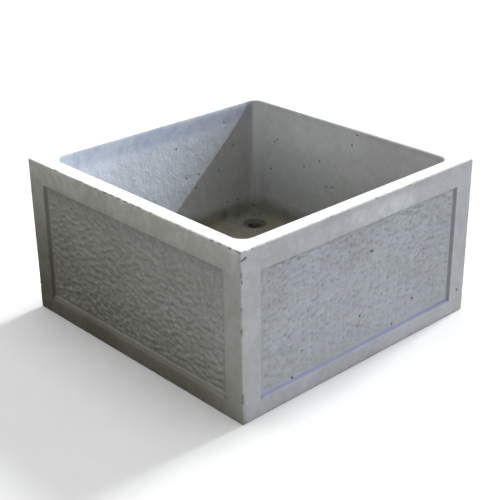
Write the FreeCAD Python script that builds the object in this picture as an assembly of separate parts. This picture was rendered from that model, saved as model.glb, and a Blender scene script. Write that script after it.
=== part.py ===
"""Square concrete planter, cast in one pour round a light steel cage.

The origin is at the centre of the underside, with +Z up and the walls square to X and Y. Millimetres.
"""
import FreeCAD, Part
import math
import os

# Outside of the casting
side = 750.0  # outer width, along X and along Y
height = 400.0
arris_round = 3.0  # worn round along the outer edges

# Walls, floor and rim
rim_wall = 40.0  # wall thickness at the rim
wall_lean = 8.0  # how much thicker a wall is where it meets the floor
floor_thickness = 58.0
inner_corner_round = 30.0  # upright corners of the inside
floor_round = 22.0  # cove between the walls and the floor
rim_round = 4.0  # inner edge of the rim

# Sunk panel in each outer face
stile_width = 54.0  # smooth border beside the panel
top_rail = 56.0  # smooth border above the panel
bottom_rail = 40.0  # smooth border below the panel
panel_depth = 8.0
jamb_run = 4.0  # how far the edges beside and above the panel slope inwards over that depth
sill_run = 10.0  # the same for the edge below, which sheds water
panel_corner_round = 6.0

# Drains: offcuts of plastic pipe through the floor, one near each corner
drain_inset = 105.0  # from the outer faces to the centre of a drain
sleeve_diameter = 40.0
sleeve_wall = 2.0
sleeve_lift = 1.0  # from the underside to the lower end of a sleeve

# Steel cage
bar_diameter = 5.0
bar_film = 0.4  # concrete between two bars that cross
bar_bend = 25.0  # radius of a bent bar's centre line
hoop_bend = 40.0  # the same at a hoop's corners
bend_piece_count = 6  # straight pieces that stand for the curve of a bend
base_cover = 22.0  # concrete under the lowest bars
rim_cover = 25.0  # concrete over the ends of the upright legs
hoop_below_leg_end = 8.0  # from the end of a leg down to the top hoop
lowest_hoop = 95.0  # height of the lowest hoop above the underside
bar_inset = 150.0  # from an outer face to the first bar beside it
bar_count = 4
hoop_count = 4

# Tie wire round each pair of bars that cross
tie_diameter = 1.4
tie_film = 0.2  # concrete between a tie and the bars that it holds
tie_flat_count = 6  # flats that stand for the wire's round

# Mortar blocks that hold the cage off the bed of the mould
block_base = 40.0
block_top = 30.0
block_inset = 225.0  # from an outer face to the centre of a block

overcut = 2.0  # how far a cutter reaches past the face that it opens
level_slack = 0.01  # how far from a height an edge may be and still count as level there

# Places that follow from the sizes above
half_side = side / 2
bar_pitch = bar_diameter + bar_film
wall_middle = half_side - (panel_depth + rim_wall) / 2  # middle of the thinnest part of a wall
hoop_plane = wall_middle + bar_pitch / 2
leg_plane = wall_middle - bar_pitch / 2
lower_run = base_cover + bar_diameter / 2
upper_run = lower_run + bar_pitch
leg_end = height - rim_cover
highest_hoop = leg_end - hoop_below_leg_end
HALF_DIAGONAL = math.sqrt(0.5)  # share of a round corner's radius at the middle of its arc
MITRED_CORNERS = 1  # how a sweep turns at a sharp corner of its path
X_AXIS = FreeCAD.Vector(1, 0, 0)
Y_AXIS = FreeCAD.Vector(0, 1, 0)
Z_AXIS = FreeCAD.Vector(0, 0, 1)
CENTRE = FreeCAD.Vector(0, 0, 0)


def spread(first, last, count):
    """Evenly spaced places from first to last."""
    step = (last - first) / (count - 1)
    return [first + step * place for place in range(count)]


def bar_places():
    """Where the bars of one layer lie across the planter."""
    return spread(-half_side + bar_inset, half_side - bar_inset, bar_count)


def hoop_heights():
    """Height of each hoop above the underside."""
    return spread(lowest_hoop, highest_hoop, hoop_count)


def turned(shape, degrees):
    """A copy of a shape turned about the planter's upright axis."""
    copy = shape.copy()
    copy.rotate(CENTRE, Z_AXIS, degrees)
    return copy


def square_at(half_width, z):
    """Closed wire of a level square about the upright axis."""
    corners = [(-1, -1), (1, -1), (1, 1), (-1, 1), (-1, -1)]
    return Part.makePolygon([FreeCAD.Vector(half_width * x, half_width * y, z) for x, y in corners])


def sloping_edges(shape, direction):
    """Edges of a tapered block that run from its one end to the other along a direction."""
    found = []
    for edge in shape.Edges:
        ends = edge.Vertexes[1].Point - edge.Vertexes[0].Point
        if abs(ends.dot(direction)) > overcut:
            found.append(edge)
    return found


def edges_at_height(shape, z):
    """Edges that lie level at one height."""
    found = []
    for edge in shape.Edges:
        box = edge.BoundBox
        if max(abs(box.ZMin - z), abs(box.ZMax - z)) < level_slack:
            found.append(edge)
    return found


def panel_pocket():
    """Cutter for the sunk panel in the face towards -Y: a shallow tray with sloping edges."""

    def outline(sunk):
        y = -half_side + sunk
        jamb = jamb_run * sunk / panel_depth
        low = bottom_rail + sill_run * sunk / panel_depth
        across = half_side - stile_width - jamb
        high = height - top_rail - jamb
        corners = [(-across, low), (across, low), (across, high), (-across, high), (-across, low)]
        return Part.makePolygon([FreeCAD.Vector(x, y, z) for x, z in corners])

    tray = Part.makeLoft([outline(-overcut), outline(panel_depth)], True, True)
    return tray.makeFillet(panel_corner_round, sloping_edges(tray, Y_AXIS))


def planting_space():
    """Cutter for the inside: a leaning square well with round corners and a coved floor."""
    lean_per_mm = wall_lean / (height - floor_thickness)
    half_rim = half_side - rim_wall
    floor_outline = square_at(half_rim - wall_lean, floor_thickness)
    mouth_outline = square_at(half_rim + lean_per_mm * overcut, height + overcut)
    well = Part.makeLoft([floor_outline, mouth_outline], True, True)
    well = well.makeFillet(inner_corner_round, sloping_edges(well, Z_AXIS))
    return well.makeFillet(floor_round, edges_at_height(well, floor_thickness))


def bend(centre, first, second):
    """Points along a bent bar's quarter turn about a centre, from one arm of the turn to the other."""
    turns = [math.pi / 2 * piece / bend_piece_count for piece in range(bend_piece_count + 1)]
    return [centre + first * math.cos(turn) + second * math.sin(turn) for turn in turns]


def bar_along(points):
    """Round bar along a path of straight pieces, mitred where they meet."""
    section = Part.Wire(Part.makeCircle(bar_diameter / 2, points[0], points[1] - points[0]))
    return Part.makePolygon(points).makePipeShell([section], True, False, MITRED_CORNERS)


def u_bar(run_height, place):
    """Bar bent to a U: a floor run along X at one place along Y, with a leg up each side wall."""
    turn_x = leg_plane - bar_bend
    turn_z = run_height + bar_bend
    right = X_AXIS * bar_bend
    down = Z_AXIS * -bar_bend

    def at(x, z):
        return FreeCAD.Vector(x, place, z)

    path = [at(-leg_plane, leg_end)]
    path += bend(at(-turn_x, turn_z), right * -1, down)
    path += bend(at(turn_x, turn_z), down, right)
    path.append(at(leg_plane, leg_end))
    return bar_along(path)


def hoop_bar(z):
    """Closed ring of bar round the four walls, welded where its ends meet."""
    straight = hoop_plane - hoop_bend
    start = FreeCAD.Vector(0, -hoop_plane, z)
    path = [start]
    arm = Y_AXIS * -hoop_bend
    for x, y in ((1, -1), (1, 1), (-1, 1), (-1, -1)):
        next_arm = FreeCAD.Vector(-arm.y, arm.x, 0)
        path += bend(FreeCAD.Vector(x * straight, y * straight, z), arm, next_arm)
        arm = next_arm
    path.append(start)
    return bar_along(path)


def tie_loop():
    """Loop of tie wire round two bars that cross above each other, along X and along Y, at the origin."""
    radius = tie_diameter / 2
    clear = tie_film + radius
    across = (bar_diameter / 2 + clear) / HALF_DIAGONAL  # the loop stands at 45 degrees to both bars
    up = (bar_pitch + bar_diameter) / 2 + clear
    corners = [(across, 0), (across, up), (-across, up), (-across, -up), (across, -up), (across, 0)]
    path = Part.makePolygon([FreeCAD.Vector(x, 0, z) for x, z in corners])
    turns = [2 * math.pi * flat / tie_flat_count for flat in range(tie_flat_count + 1)]
    section = Part.makePolygon(
        [FreeCAD.Vector(across + radius * math.cos(turn), radius * math.sin(turn), 0) for turn in turns]
    )
    return turned(path.makePipeShell([section], True, False, MITRED_CORNERS), 45)


def floor_ties():
    """A tie at each crossing of the two layers of bars in the floor."""
    ties = []
    for x in bar_places():
        for y in bar_places():
            tie = tie_loop()
            tie.translate(FreeCAD.Vector(x, y, (lower_run + upper_run) / 2))
            ties.append(tie)
    return ties


def wall_ties():
    """A tie at each crossing of a hoop and an upright leg."""
    ties = []
    for quarter in range(4):
        for x in bar_places():
            for z in hoop_heights():
                tie = tie_loop()
                tie.rotate(CENTRE, X_AXIS, 90)
                tie.translate(FreeCAD.Vector(x, -wall_middle, z))
                ties.append(turned(tie, 90 * quarter))
    return ties


def cover_block(x, y):
    """Tapered mortar block from the underside to just below a bar of the lower layer."""
    low = square_at(block_base / 2, 0)
    high = square_at(block_top / 2, base_cover - bar_film)
    block = Part.makeLoft([low, high], True, True)
    block.translate(FreeCAD.Vector(x, y, 0))
    return block


def drain_places():
    """Name and centre of each drain, seen from above with -Y to the front."""
    reach = half_side - drain_inset
    return {
        "front_left": (-reach, -reach),
        "front_right": (reach, -reach),
        "back_right": (reach, reach),
        "back_left": (-reach, reach),
    }


def upright_cylinder(diameter, x, y, low, high):
    """Round rod between two heights."""
    return Part.makeCylinder(diameter / 2, high - low, FreeCAD.Vector(x, y, low), Z_AXIS)


def drain_sleeve(x, y):
    """Offcut of pipe from just above the underside to the floor's top face."""
    outside = upright_cylinder(sleeve_diameter, x, y, sleeve_lift, floor_thickness)
    bore = upright_cylinder(sleeve_diameter - 2 * sleeve_wall, x, y, 0, floor_thickness + overcut)
    return outside.cut(bore)


def planter_casting(embedded):
    """The concrete: walls, floor and rim, with an exact place for each thing cast into it."""
    corner = FreeCAD.Vector(-half_side, -half_side, 0)
    tub = Part.makeBox(side, side, height, corner)
    tub = tub.makeFillet(arris_round, tub.Edges)
    tub = tub.cut([turned(panel_pocket(), 90 * quarter) for quarter in range(4)])
    tub = tub.cut(planting_space())
    rim_edges = [
        edge
        for edge in edges_at_height(tub, height)
        if abs(edge.CenterOfMass.x) < half_side - rim_wall / 2
        and abs(edge.CenterOfMass.y) < half_side - rim_wall / 2
    ]
    tub = tub.makeFillet(rim_round, rim_edges)
    drains = [
        upright_cylinder(sleeve_diameter, x, y, -overcut, floor_thickness + overcut)
        for x, y in drain_places().values()
    ]
    return tub.cut(drains + embedded)


def cage():
    """The steel bars by name: hoops, and bars bent to a U that run along X below those along Y."""
    bars = {}
    for number, z in enumerate(hoop_heights(), 1):
        bars[f"hoop_bar_{number}"] = hoop_bar(z)
    for number, place in enumerate(bar_places(), 1):
        bars[f"lower_u_bar_{number}"] = u_bar(lower_run, place)
        bars[f"upper_u_bar_{number}"] = turned(u_bar(upper_run, place), 90)
    return bars


def cover_blocks():
    """Two blocks under each bar of the lower layer."""
    block_reach = half_side - block_inset
    return [cover_block(x, y) for x in (-block_reach, block_reach) for y in bar_places()]


def main():
    os.makedirs("parts", exist_ok=True)
    pieces = cage()
    groups = {"floor_ties": floor_ties(), "wall_ties": wall_ties(), "cover_blocks": cover_blocks()}
    embedded = list(pieces.values()) + sum(groups.values(), [])
    pieces["planter_casting"] = planter_casting(embedded)
    for name, solids in groups.items():
        pieces[name] = Part.makeCompound(solids)
    for name, (x, y) in drain_places().items():
        pieces[f"drain_sleeve_{name}"] = drain_sleeve(x, y)
    for name, shape in pieces.items():
        shape.exportStep(f"parts/{name}.step")
        print(name, len(shape.Solids), "solids", round(shape.Volume / 1000, 1), "cm3", shape.isValid())


main()
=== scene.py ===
import math

import bmesh
import bpy
import numpy as np
from bpy.props import FloatProperty, FloatVectorProperty, IntProperty, PointerProperty
from mathutils import Matrix, Vector
from mathutils.geometry import delaunay_2d_cdt


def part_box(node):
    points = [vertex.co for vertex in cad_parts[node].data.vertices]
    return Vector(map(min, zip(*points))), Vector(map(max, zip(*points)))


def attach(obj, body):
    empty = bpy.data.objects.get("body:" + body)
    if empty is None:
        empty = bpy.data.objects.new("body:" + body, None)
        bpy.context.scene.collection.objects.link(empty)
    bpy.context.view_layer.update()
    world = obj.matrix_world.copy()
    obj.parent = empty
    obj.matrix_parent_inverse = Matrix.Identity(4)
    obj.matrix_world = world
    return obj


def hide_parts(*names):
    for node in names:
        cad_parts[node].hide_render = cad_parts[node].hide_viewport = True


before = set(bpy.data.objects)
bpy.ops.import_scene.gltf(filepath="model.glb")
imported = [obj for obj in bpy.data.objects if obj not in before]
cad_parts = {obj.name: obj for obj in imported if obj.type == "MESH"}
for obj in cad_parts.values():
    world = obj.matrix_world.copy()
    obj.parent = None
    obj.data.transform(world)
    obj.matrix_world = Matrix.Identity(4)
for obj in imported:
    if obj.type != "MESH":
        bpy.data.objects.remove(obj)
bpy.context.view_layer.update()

bl_info = {
    "name": "Square concrete planter",
    "version": (1, 0, 0),
    "blender": (4, 5, 0),
    "location": "View3D > Sidebar > Planter",
    "description": "Casts the concrete on the fixed frame, finishes each piece and sets the stage",
    "category": "Object",
}

# Places read from the frame
HALF_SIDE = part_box("planter_casting")[1].x
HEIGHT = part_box("planter_casting")[1].z
SLEEVES = sorted(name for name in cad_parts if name.startswith("drain_sleeve"))
BARS = sorted(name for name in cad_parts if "_bar_" in name)
TIES = sorted(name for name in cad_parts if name.endswith("_ties"))
BLOCKS = ["cover_blocks"]
FLOOR_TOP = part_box(SLEEVES[0])[1].z
BLOCK_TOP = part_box("cover_blocks")[1].z

# What each point of the casting carries for its finish: a place along its face, and shares from 0 to 1
MARKS = (
    "along", "hammered", "sill", "crease", "arris", "inside",
    "trowelled", "open_face", "struck", "pitted", "rim",
)


def length(name, description, default):
    """A size in metres that a user may change."""
    return FloatProperty(
        name=name, description=description, default=default, min=0.0, precision=4, unit="LENGTH"
    )


def angle(name, description, degrees):
    """An angle that a user may change."""
    return FloatProperty(
        name=name, description=description, default=math.radians(degrees), subtype="ANGLE"
    )


def amount(name, description, default):
    """A plain number that a user may change."""
    return FloatProperty(name=name, description=description, default=default)


def tint(name, description, default):
    """A colour that a user may change."""
    return FloatVectorProperty(
        name=name, description=description, default=default, size=3, min=0.0, max=1.0, subtype="COLOR"
    )


class CastingSizes(bpy.types.PropertyGroup):
    """Shape of the concrete, as in the solid that it stands for"""

    arris_round: length("Arris round", "Worn round along the outer edges", 0.003)
    rim_wall: length("Rim wall", "Wall thickness at the rim", 0.040)
    wall_lean: length("Wall lean", "How much thicker a wall is where it meets the floor", 0.008)
    lip_depth: length("Lip depth", "Upright band inside, under the rim", 0.050)
    inner_corner_round: length("Inner corner round", "Upright corners of the inside", 0.030)
    floor_round: length("Floor round", "Cove between the walls and the floor", 0.022)
    rim_round: length("Rim round", "Inner edge of the rim", 0.004)
    stile_width: length("Stile width", "Smooth border beside a panel", 0.054)
    top_rail: length("Top rail", "Smooth border above a panel", 0.056)
    bottom_rail: length("Bottom rail", "Smooth border below a panel", 0.040)
    panel_depth: length("Panel depth", "How far a panel is sunk", 0.008)
    jamb_run: length("Jamb run", "Slope of the edges beside and above a panel", 0.004)
    sill_run: length("Sill run", "Slope of the edge below a panel", 0.010)
    panel_corner_round: length("Panel corner round", "Round of a panel's corners", 0.006)
    block_base: length("Block base", "Width of a cover block at the underside", 0.040)
    block_head: length("Block head", "Width of a cover block at its top", 0.030)
    seat_gap: length("Seat gap", "Room round a piece that is cast in", 0.0001)


class CastingFinish(bpy.types.PropertyGroup):
    """Relief of the concrete's faces"""

    hammer_spacing: length("Hammer spacing", "Distance between the blows on a panel", 0.0145)
    hammer_depth: length("Hammer depth", "Depth of a blow", 0.0054)
    skin_wave: length("Skin wave", "Unevenness of the smooth faces", 0.0005)
    trowel_wave: length("Trowel wave", "Unevenness of the inside", 0.0012)
    chip_length: length("Chip length", "Usual length of a chip on an arris", 0.016)
    chip_depth: length("Chip depth", "How deep the chips go", 0.0026)
    hole_depth: length("Hole depth", "How deep the air holes go", 0.003)
    panel_grid: length("Panel grid", "Mesh step along a panel", 0.0052)
    seed: IntProperty(name="Seed", description="Which pattern of blows, waves and chips", default=7)


class PieceColours(bpy.types.PropertyGroup):
    """Colours of the finishes"""

    cement: tint("Cement", "Clean face of the concrete", (0.43, 0.428, 0.422))
    cement_dark: tint("Dark cement", "Mottled patches of the concrete", (0.36, 0.354, 0.335))
    cement_cool: tint("Cool cement", "Bluish grains of a hammered face", (0.40, 0.425, 0.48))
    # This tone is partly weather bleaching and partly painted highlight: the pale rim, a band under it and a
    # strip along the front top rail.
    cement_worn_and_lit: tint("Worn cement", "Rim bleached by weather", (0.62, 0.62, 0.61))
    cement_inside: tint("Inside cement", "Trowelled walls inside", (0.58, 0.58, 0.57))
    # This tone is dirt and painted shade in a panel's edges.
    crease_dirt_and_shade: tint("Crease dirt", "Dirt in the edges of a panel", (0.075, 0.070, 0.048))
    # This tone is dirt, and painted shade where it darkens the chips and the air holes.
    grime: tint("Grime", "Dirt in chips and holes", (0.060, 0.058, 0.048))
    # This tone is painted bluish shade, on the sills and in a band under the rim inside.
    painted_sky_shade: tint("Sill damp", "Damp film on the sills", (0.225, 0.255, 0.385))
    # This tone is damp in blotches, and painted shade where it darkens the walls inside towards the floor and
    # towards the back corner.
    wall_damp_and_shade: tint("Wall damp", "Damp that climbs the walls inside", (0.105, 0.107, 0.090))
    soil_stain: tint("Soil stain", "Stain of wet soil on the floor", (0.125, 0.115, 0.088))
    # This tone is green growth and specks, and painted shade in the hammer pits and on the left face's far
    # end, foot and sill.
    algae_and_shade: tint("Algae", "Film that grows low on the shaded face", (0.105, 0.100, 0.072))
    # This tone is painted shade: a warm, darker tint over the left face.
    painted_shade_tint: tint("Shade film", "Yellowish film on the shaded face", (0.93, 0.92, 0.845))
    moss: tint("Moss", "Growth in the corners of the floor", (0.150, 0.140, 0.050))
    pipe: tint("Pipe", "Plastic of the drain sleeves", (0.045, 0.043, 0.040))
    steel: tint("Steel", "Mill skin of the bars", (0.16, 0.155, 0.15))
    rust: tint("Rust", "Bloom of rust on the steel", (0.20, 0.075, 0.028))
    wire: tint("Wire", "Annealed tie wire", (0.055, 0.053, 0.052))
    mortar: tint("Mortar", "Cover blocks", (0.36, 0.35, 0.325))


class StageSettings(bpy.types.PropertyGroup):
    """Floor, lights and camera"""

    floor_tone: tint("Floor tone", "Plain pale floor", (0.64, 0.636, 0.63))
    floor_bright: tint("Floor bright", "What the floor throws back", (0.74, 0.78, 0.86))
    floor_dim: tint("Floor dim", "What the floor throws back beside the left face", (0.10, 0.094, 0.080))
    sky_cool: tint("Cool sky", "Light from the front and right", (0.94, 0.97, 1.0))
    sky_warm: tint("Warm sky", "Light from the back and left", (1.0, 0.985, 0.93))
    sky_bright: amount("Bright sky", "Light from the front and right", 0.42)
    sky_dim: amount("Dim sky", "Light from the back and left", 0.44)
    top_strength: amount("Top strength", "Soft light from above", 2.2)
    key_tone: tint("Key tone", "Colour of the top and key lights", (0.97, 0.985, 1.0))
    key_strength: amount("Key strength", "Broad light from the right", 3.6)
    key_height: angle("Key height", "Key light above the floor", 38)
    key_behind: angle("Key behind", "How far the key light stands behind the front face", 2)
    key_softness: angle("Key softness", "Width of the key light in the sky", 14)
    beam_tone: tint("Beam tone", "Colour of the beam", (0.64, 0.76, 1.0))
    beam_strength: amount("Beam strength", "Narrow light into the planter", 2750.0)
    beam_turn: angle("Beam turn", "How far the beam comes from the front", 12)
    beam_height: angle("Beam height", "Beam above the floor", 35.4)
    beam_spread: angle("Beam spread", "Width of the beam", 12)
    lens: amount("Lens", "Focal length in millimetres", 80.0)
    view_turn: angle("View turn", "Camera's turn round the planter", -43.03)
    view_height: angle("View height", "Camera's height above level", 25.0)
    view_roll: angle("View roll", "Tilt of the camera to one side", -0.56)
    view_distance: length("View distance", "From the camera to the aim", 2.7435)
    aim_height: length("Aim height", "Height of the aim above the floor", 0.1593)


# Points along lines and rings


def stretches(stops):
    """Places along a line: each stop is where a stretch begins and its widest step; the last ends it."""
    places = []
    for (start, step), (end, _) in zip(stops, stops[1:]):
        count = max(1, math.ceil(abs(end - start) / step - 0.001))
        places.extend(np.linspace(start, end, count, endpoint=False))
    places.append(stops[-1][0])
    return np.array(places)


def ring(straight, half_width, corner_steps):
    """Closed square ring of points with round corners, going round from the front face's left end."""
    centre = straight[-1]
    radius = half_width - centre
    turn = np.linspace(-math.pi / 2, 0, corner_steps + 1)[1:-1]
    side = np.column_stack([straight, np.full(len(straight), -half_width)])
    corner = np.column_stack([centre + radius * np.cos(turn), -centre + radius * np.sin(turn)])
    quarter = np.vstack([side, corner])
    quarters = [quarter]
    for _ in range(3):
        x, y = quarters[-1].T
        quarters.append(np.column_stack([-y, x]))
    return np.vstack(quarters)


def ring_faces(rows, columns):
    """Quads between neighbouring rings of a closed skin."""
    row, column = np.meshgrid(np.arange(rows - 1), np.arange(columns), indexing="ij")
    after = (column + 1) % columns
    low = row * columns
    high = low + columns
    corners = [low + column, low + after, high + after, high + column]
    return np.stack(corners, axis=-1).reshape(-1, 4).tolist()


def lift(points, z):
    """Flat points at one height."""
    return np.column_stack([points, np.full(len(points), z)])


def smooth_step(value, low, high):
    """0 below low, 1 above high, with a smooth climb between."""
    share = np.clip((value - low) / (high - low), 0, 1)
    return share * share * (3 - 2 * share)


def soft_least(first, second, blend):
    """The lesser of two values, rounded where they cross."""
    share = np.clip(0.5 + 0.5 * (second - first) / blend, 0, 1)
    return second + (first - second) * share - blend * share * (1 - share)


def inside_loops(points, loops):
    """Which points lie inside an odd number of closed loops."""
    odd = np.zeros(len(points), bool)
    x, y = points.T
    for loop in loops:
        for (x0, y0), (x1, y1) in zip(loop, np.roll(loop, -1, axis=0)):
            if y0 != y1:
                crosses = (y0 > y) != (y1 > y)
                odd ^= crosses & (x < (x1 - x0) * (y - y0) / (y1 - y0) + x0)
    return odd


def flat_fill(loops, spare):
    """Triangles of a flat region between closed loops, with spare points inside it."""
    points = [Vector(point) for loop in loops for point in loop] + [Vector(point) for point in spare]
    edges = []
    start = 0
    for loop in loops:
        edges.extend((start + i, start + (i + 1) % len(loop)) for i in range(len(loop)))
        start += len(loop)
    found, _, triangles, *_ = delaunay_2d_cdt(points, edges, [], 0, 1e-8)
    flat = np.array(found)
    triangles = np.array(triangles)
    kept = inside_loops(flat[triangles].mean(axis=1), loops)
    return flat, triangles[kept].tolist()


def without_repeats(points, nearest=1e-7):
    """A ring's points with those that fall on the one before left out."""
    gaps = np.linalg.norm(points - np.roll(points, 1, axis=0), axis=1)
    return points[gaps > nearest]


def grid_between(loops, step, margin):
    """Points of a square grid inside a region, clear of its loops."""
    reach = np.abs(loops[0]).max()
    line = np.arange(-reach, reach, step)
    points = np.array(np.meshgrid(line, line)).reshape(2, -1).T
    points = points[inside_loops(points, loops)]
    for loop in loops:
        gap = np.min([np.linalg.norm(points - corner, axis=1) for corner in loop], axis=0)
        points = points[gap > margin]
    return points


class Patchwork:
    """Gathers the patches of a mesh and the marks of their points."""

    def __init__(self):
        self.points = []
        self.faces = []
        self.marks = {name: [] for name in MARKS}
        self.count = 0

    def add(self, points, faces, **marks):
        self.faces.extend([corner + self.count for corner in face] for face in faces)
        self.points.append(points)
        self.count += len(points)
        for name in MARKS:
            self.marks[name].append(np.broadcast_to(marks.get(name, 0.0), len(points)))

    def mesh(self, name):
        """One closed mesh, welded along the patches' edges, with its faces outwards."""
        made = bpy.data.meshes.new(name)
        made.from_pydata(np.vstack(self.points).tolist(), [], self.faces)
        for mark, parts in self.marks.items():
            layer = made.attributes.new(mark, "FLOAT", "POINT")
            layer.data.foreach_set("value", np.concatenate(parts).astype(np.float32))
        work = bmesh.new()
        work.from_mesh(made)
        bmesh.ops.remove_doubles(work, verts=work.verts, dist=2e-6)
        bmesh.ops.dissolve_degenerate(work, edges=work.edges, dist=1e-7)
        bmesh.ops.recalc_face_normals(work, faces=work.faces)
        open_edges = [edge for edge in work.edges if not edge.is_manifold]
        if open_edges:
            raise RuntimeError(f"{name} has {len(open_edges)} edges that don't close")
        work.to_mesh(made)
        work.free()
        return made


# Patches of the casting

ARRIS_STEPS = 4
INNER_CORNER_STEPS = 8
COVE_STEPS = 6
INNER_COLUMNS = 53
RIM_COLUMNS = 84
DRAIN_POINTS = 40
EDGE_STEP = 0.0025  # mesh step beside an arris
BORDER_STEP = 0.007  # mesh step across a smooth border
JAMB_STEP = 0.0011  # mesh step across the edge of a panel
INNER_STEP = 0.009  # mesh step down the inner walls
EDGE_BAND = 0.010  # how far from an arris the close mesh goes
JAMB_BAND = 0.002  # how far past the edge of a panel the close mesh goes
EDGE_REACH = 0.009  # how far from an arris its wear shows

# Blows seen on the arrises, as place and reach: up the front arris, and along the left and front top arrises
FRONT_ARRIS_BLOWS = ((0.350, 0.010), (0.272, 0.005), (0.221, 0.010), (0.064, 0.015))
LEFT_TOP_BLOWS = (
    (-0.365, 0.014), (-0.340, 0.012), (-0.310, 0.010), (-0.288, 0.008), (-0.181, 0.007), (-0.091, 0.006),
    (-0.050, 0.010), (-0.030, 0.012), (-0.005, 0.012), (0.020, 0.013), (0.045, 0.012), (0.070, 0.012),
    (0.100, 0.007), (0.165, 0.012), (0.260, 0.010),
)
FRONT_TOP_BLOWS = ((-0.366, 0.008), (-0.340, 0.006), (-0.302, 0.006), (0.030, 0.008), (0.138, 0.008))

# Nicks and air holes seen on the front face, and air holes on the left panel, as places along and up
FRONT_NICKS = ((-0.3705, 0.381), (-0.3675, 0.3822), (-0.3645, 0.3834), (-0.3615, 0.3846), (0.350, 0.062))
FRONT_HOLES = (
    (0.029, 0.270), (-0.027, 0.177), (-0.004, 0.118), (0.182, 0.096), (0.112, 0.053), (-0.222, 0.049),
)
LEFT_HOLES = ((-0.146, 0.122), (-0.190, 0.152), (-0.263, 0.181), (0.322, 0.156))
# Air holes seen inside on the back wall and on the right wall, as places along and up
BACK_INSIDE_HOLES = (
    (0.252, 0.286), (0.123, 0.234), (0.111, 0.198), (0.080, 0.233), (0.050, 0.323),
    (0.221, 0.357), (0.261, 0.123), (0.223, 0.125), (0.195, 0.225),
)
RIGHT_INSIDE_HOLES = (
    (-0.044, 0.386), (-0.028, 0.355), (0.083, 0.283), (0.141, 0.252), (0.055, 0.218), (0.037, 0.221),
    (0.267, 0.213), (0.243, 0.303), (0.254, 0.295),
)
# Holes seen in the cove, and stains at the foot of the walls
COVE_HOLES = ((0.313, 0.315, 0.064), (0.323, 0.301, 0.067), (0.316, 0.322, 0.091))
FOOT_STAINS = ((0.207, 0.328, 0.091), (0.259, 0.326, 0.072), (0.328, 0.202, 0.095))
HOLE_RADIUS = 0.0032
# A hole's dark is dirt and painted shade.
HOLE_CORE = 0.55 * HOLE_RADIUS  # radius within which a hole is dark throughout
STAIN_RADIUS = 0.034
SLUDGE_REACH = 0.042  # how far from a drain's middle the sludge lies
BLOW_SQUASH = 1.3  # how much wider than high a hammer's blow is
BLOW_BREADTH = 0.005  # how far off an arris a blow reaches
BLOW_FADE = 0.008  # how far inside a panel's edges the blows reach their full depth
EDGE_WEAR = 0.16  # how round a panel's edges are worn, as a share of their slope
# The dirt in a panel's edges is partly painted shade.
CREASE_WIDTH = 0.0035  # half width of the dirt in a panel's edges
BLOCK_SPACING = 0.075  # cover blocks lie further apart than this


def outer_columns(sizes, grid):
    """Places along one outer face, close together at the arrises and at the panel's edges."""
    edge = HALF_SIDE - sizes.arris_round
    jamb = HALF_SIDE - sizes.stile_width
    half = stretches(
        [
            (edge, EDGE_STEP),
            (edge - EDGE_BAND, BORDER_STEP),
            (jamb + JAMB_BAND, JAMB_STEP),
            (jamb - sizes.jamb_run - JAMB_BAND, None),
        ]
    )
    panel = stretches([(-half[-1], grid), (half[-1], None)])
    return np.concatenate([-half, panel[1:-1], half[::-1]])


def outer_rows(sizes, grid):
    """Heights up an outer face, close together at the arrises and at the panel's edges."""
    sill = sizes.bottom_rail
    head = HEIGHT - sizes.top_rail
    top = HEIGHT - sizes.arris_round
    return stretches(
        [
            (sizes.arris_round, 0.003),
            (sizes.arris_round + 0.006, BORDER_STEP),
            (sill - JAMB_BAND, 0.0014),
            (sill + sizes.sill_run + JAMB_BAND, grid),
            (head - sizes.jamb_run - JAMB_BAND, JAMB_STEP),
            (head + JAMB_BAND, BORDER_STEP),
            (top - EDGE_BAND, EDGE_STEP),
            (top, None),
        ]
    )


def sunk(along, z, sizes):
    """How far a point of an outer face is sunk, and its marks for the panel, the sill and the creases."""
    jamb = HALF_SIDE - sizes.stile_width - np.abs(along)
    head = HEIGHT - sizes.top_rail - z
    sill = z - sizes.bottom_rail
    edges = np.minimum(jamb, head)
    past_sill = sill - sizes.sill_run
    blend = sizes.panel_corner_round / sizes.jamb_run
    sides = soft_least(jamb / sizes.jamb_run, head / sizes.jamb_run, blend)
    slope = soft_least(sides, sill / sizes.sill_run, 0.5 * blend)
    down = (np.hypot(slope, EDGE_WEAR) - np.hypot(slope - 1, EDGE_WEAR) + 1) / 2
    down = down * smooth_step(slope, -2.0, -1.0)
    hammered = smooth_step(np.minimum(edges - sizes.jamb_run, past_sill), 0.0, BLOW_FADE)
    on_sill = smooth_step(sill, -0.001, 0.004) * (1 - smooth_step(past_sill, -0.004, 0.001))
    on_sill = on_sill * smooth_step(jamb, 0.0, sizes.jamb_run)
    side_crease = np.exp(-(((edges - 0.6 * sizes.jamb_run) / CREASE_WIDTH) ** 2))
    crease = side_crease * smooth_step(np.minimum(edges, sill), -0.001, 0.001)
    return sizes.panel_depth * down, {"hammered": hammered, "sill": on_sill, "crease": crease}


def struck(points):
    """How hard each point of the outer skin was hit by the blows seen on the arrises."""
    x, y, z = points.T
    hit = np.zeros(len(points))
    from_front_arris = np.hypot(x + HALF_SIDE, y + HALF_SIDE)
    from_left_top = np.hypot(x + HALF_SIDE, z - HEIGHT)
    from_front_top = np.hypot(y + HALF_SIDE, z - HEIGHT)
    for blows, along, off in (
        (FRONT_ARRIS_BLOWS, z, from_front_arris),
        (LEFT_TOP_BLOWS, y, from_left_top),
        (FRONT_TOP_BLOWS, x, from_front_top),
    ):
        for place, reach in blows:
            hit = np.maximum(hit, np.exp(-(((along - place) / reach) ** 2) - (off / BLOW_BREADTH) ** 2))
    return hit


def inner_face(z, sizes):
    """Distance of the inner walls from the middle at a height: upright under the rim, then leaning in."""
    below_lip = max(0.0, HEIGHT - sizes.lip_depth - z)
    return HALF_SIDE - sizes.rim_wall - sizes.wall_lean * below_lip / (HEIGHT - sizes.lip_depth - FLOOR_TOP)


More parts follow.
